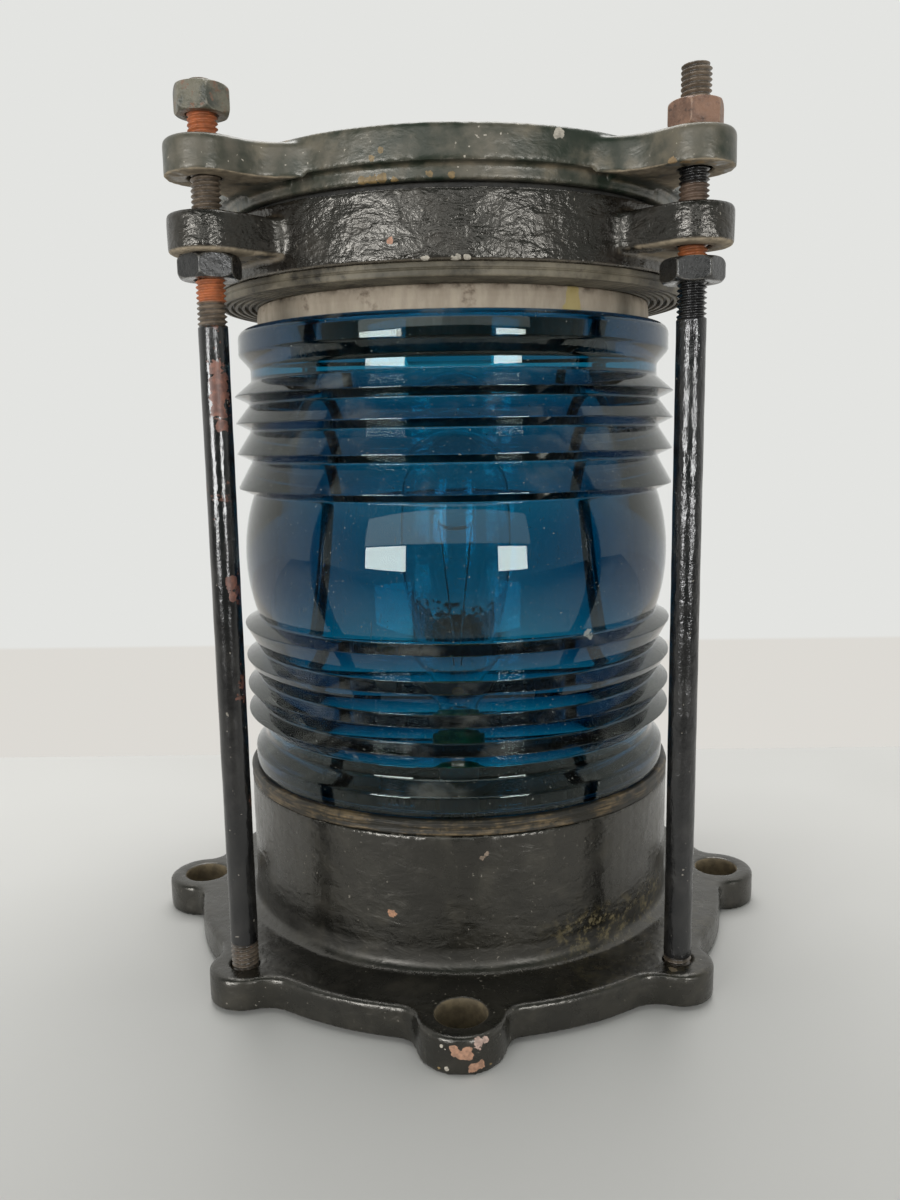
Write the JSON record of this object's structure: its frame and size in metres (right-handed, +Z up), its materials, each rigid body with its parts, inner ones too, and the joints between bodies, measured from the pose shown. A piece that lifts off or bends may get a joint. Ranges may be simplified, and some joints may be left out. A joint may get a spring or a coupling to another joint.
{
  "type": "maritime signal light",
  "caption": "Round blue drum-lens signal light between a flanged cast base and a domed cap, tied by long studs with nuts.",
  "frame": {"origin": "centre of the four feet's bottom plane, on the lamp's axis", "axes": "+Z up along the lamp's axis, front mounting ear toward -Y, +X to the right seen from the front"},
  "size_m": [0.325, 0.325, 0.4035],
  "materials": {
    "painted_casting": "chipped gloss enamel on a cast surface",
    "painted_pillar": "satin paint",
    "painted_stud": "thick gloss paint with chips",
    "steel_nut": "weathered and rusty",
    "painted_nut": "gloss paint",
    "blue_glass": "moulded glass",
    "clear_glass": "clear",
    "gasket": "aged",
    "packing": "aged cream",
    "packing_grooved": "aged, grooved",
    "brass": "dull",
    "porcelain": "glazed ceramic",
    "solder": "dull",
    "wire": "drawn wire"
  },
  "bodies": {
    "lantern": {"base_casting": "painted_casting", "clamp_ring": "painted_casting", "base_gasket": "gasket", "cap_gasket": "gasket", "lens_packing": "packing", "pressure_ring": "packing_grooved", "fresnel_lens": "blue_glass", "gland_body": "brass", "gland_lock_nut": "brass", "gland_packing": "gasket", "lamp_pillar": "painted_pillar", "pillar_screws": "brass", "lampholder_shell": "brass", "lampholder_insulator": "porcelain", "terminal_block": "porcelain", "terminal_bars": "brass", "terminal_screws": "brass", "terminal_block_screw": "brass", "earth_screw": "brass", "tie_stud_front_left": "painted_stud", "tie_stud_front_right": "painted_stud", "tie_stud_rear_right": "painted_stud", "tie_stud_rear_left": "painted_stud"},
    "cap": {"top_cap": "painted_casting"},
    "bulb": {"bulb_cap": "brass", "bulb_contacts": "solder", "bulb_glass": "clear_glass", "bulb_stem": "clear_glass", "bulb_filament": "wire"},
    "plungers": {"contact_plungers": "brass"},
    "gland_nut_body": {"gland_nut": "brass"},
    "top_nut_front_left_body": {"top_nut_front_left": "steel_nut"},
    "jam_nut_front_left_body": {"jam_nut_front_left": "painted_nut"},
    "top_nut_front_right_body": {"top_nut_front_right": "steel_nut"},
    "jam_nut_front_right_body": {"jam_nut_front_right": "painted_nut"},
    "top_nut_rear_right_body": {"top_nut_rear_right": "steel_nut"},
    "jam_nut_rear_right_body": {"jam_nut_rear_right": "painted_nut"},
    "top_nut_rear_left_body": {"top_nut_rear_left": "steel_nut"},
    "jam_nut_rear_left_body": {"jam_nut_rear_left": "painted_nut"}
  },
  "joints": [
    {"name": "cap_lift", "type": "slide", "parent": "lantern", "child": "cap", "axis": [0, 0, 1], "range_m": [0, 0.08]},
    {"name": "bulb_twist", "type": "hinge", "parent": "lantern", "child": "bulb", "pos_m": [0, 0, 0.13], "axis": [0, 0, 1], "range_deg": [0, 18]},
    {"name": "plunger_press", "type": "slide", "parent": "lantern", "child": "plungers", "axis": [0, 0, -1], "range_m": [0, 0.0025], "stiffness_N_per_m": 800, "springref_m": -0.003},
    {"name": "gland_nut_turn", "type": "hinge", "parent": "lantern", "child": "gland_nut_body", "pos_m": [0, 0.064, 0.014], "axis": [0, 0, 1], "continuous": true},
    {"name": "top_nut_front_left_turn", "type": "hinge", "parent": "cap", "child": "top_nut_front_left_body", "pos_m": [-0.1002, -0.1002, 0.3927], "axis": [0, 0, 1], "continuous": true},
    {"name": "jam_nut_front_left_turn", "type": "hinge", "parent": "lantern", "child": "jam_nut_front_left_body", "pos_m": [-0.1002, -0.1002, 0.3275], "axis": [0, 0, 1], "continuous": true},
    {"name": "top_nut_front_right_turn", "type": "hinge", "parent": "cap", "child": "top_nut_front_right_body", "pos_m": [0.1002, -0.1002, 0.383], "axis": [0, 0, 1], "continuous": true},
    {"name": "jam_nut_front_right_turn", "type": "hinge", "parent": "lantern", "child": "jam_nut_front_right_body", "pos_m": [0.1002, -0.1002, 0.3275], "axis": [0, 0, 1], "continuous": true},
    {"name": "top_nut_rear_right_turn", "type": "hinge", "parent": "cap", "child": "top_nut_rear_right_body", "pos_m": [0.1002, 0.1002, 0.383], "axis": [0, 0, 1], "continuous": true},
    {"name": "jam_nut_rear_right_turn", "type": "hinge", "parent": "lantern", "child": "jam_nut_rear_right_body", "pos_m": [0.1002, 0.1002, 0.3275], "axis": [0, 0, 1], "continuous": true},
    {"name": "top_nut_rear_left_turn", "type": "hinge", "parent": "cap", "child": "top_nut_rear_left_body", "pos_m": [-0.1002, 0.1002, 0.383], "axis": [0, 0, 1], "continuous": true},
    {"name": "jam_nut_rear_left_turn", "type": "hinge", "parent": "lantern", "child": "jam_nut_rear_left_body", "pos_m": [-0.1002, 0.1002, 0.3275], "axis": [0, 0, 1], "continuous": true}
  ]
}
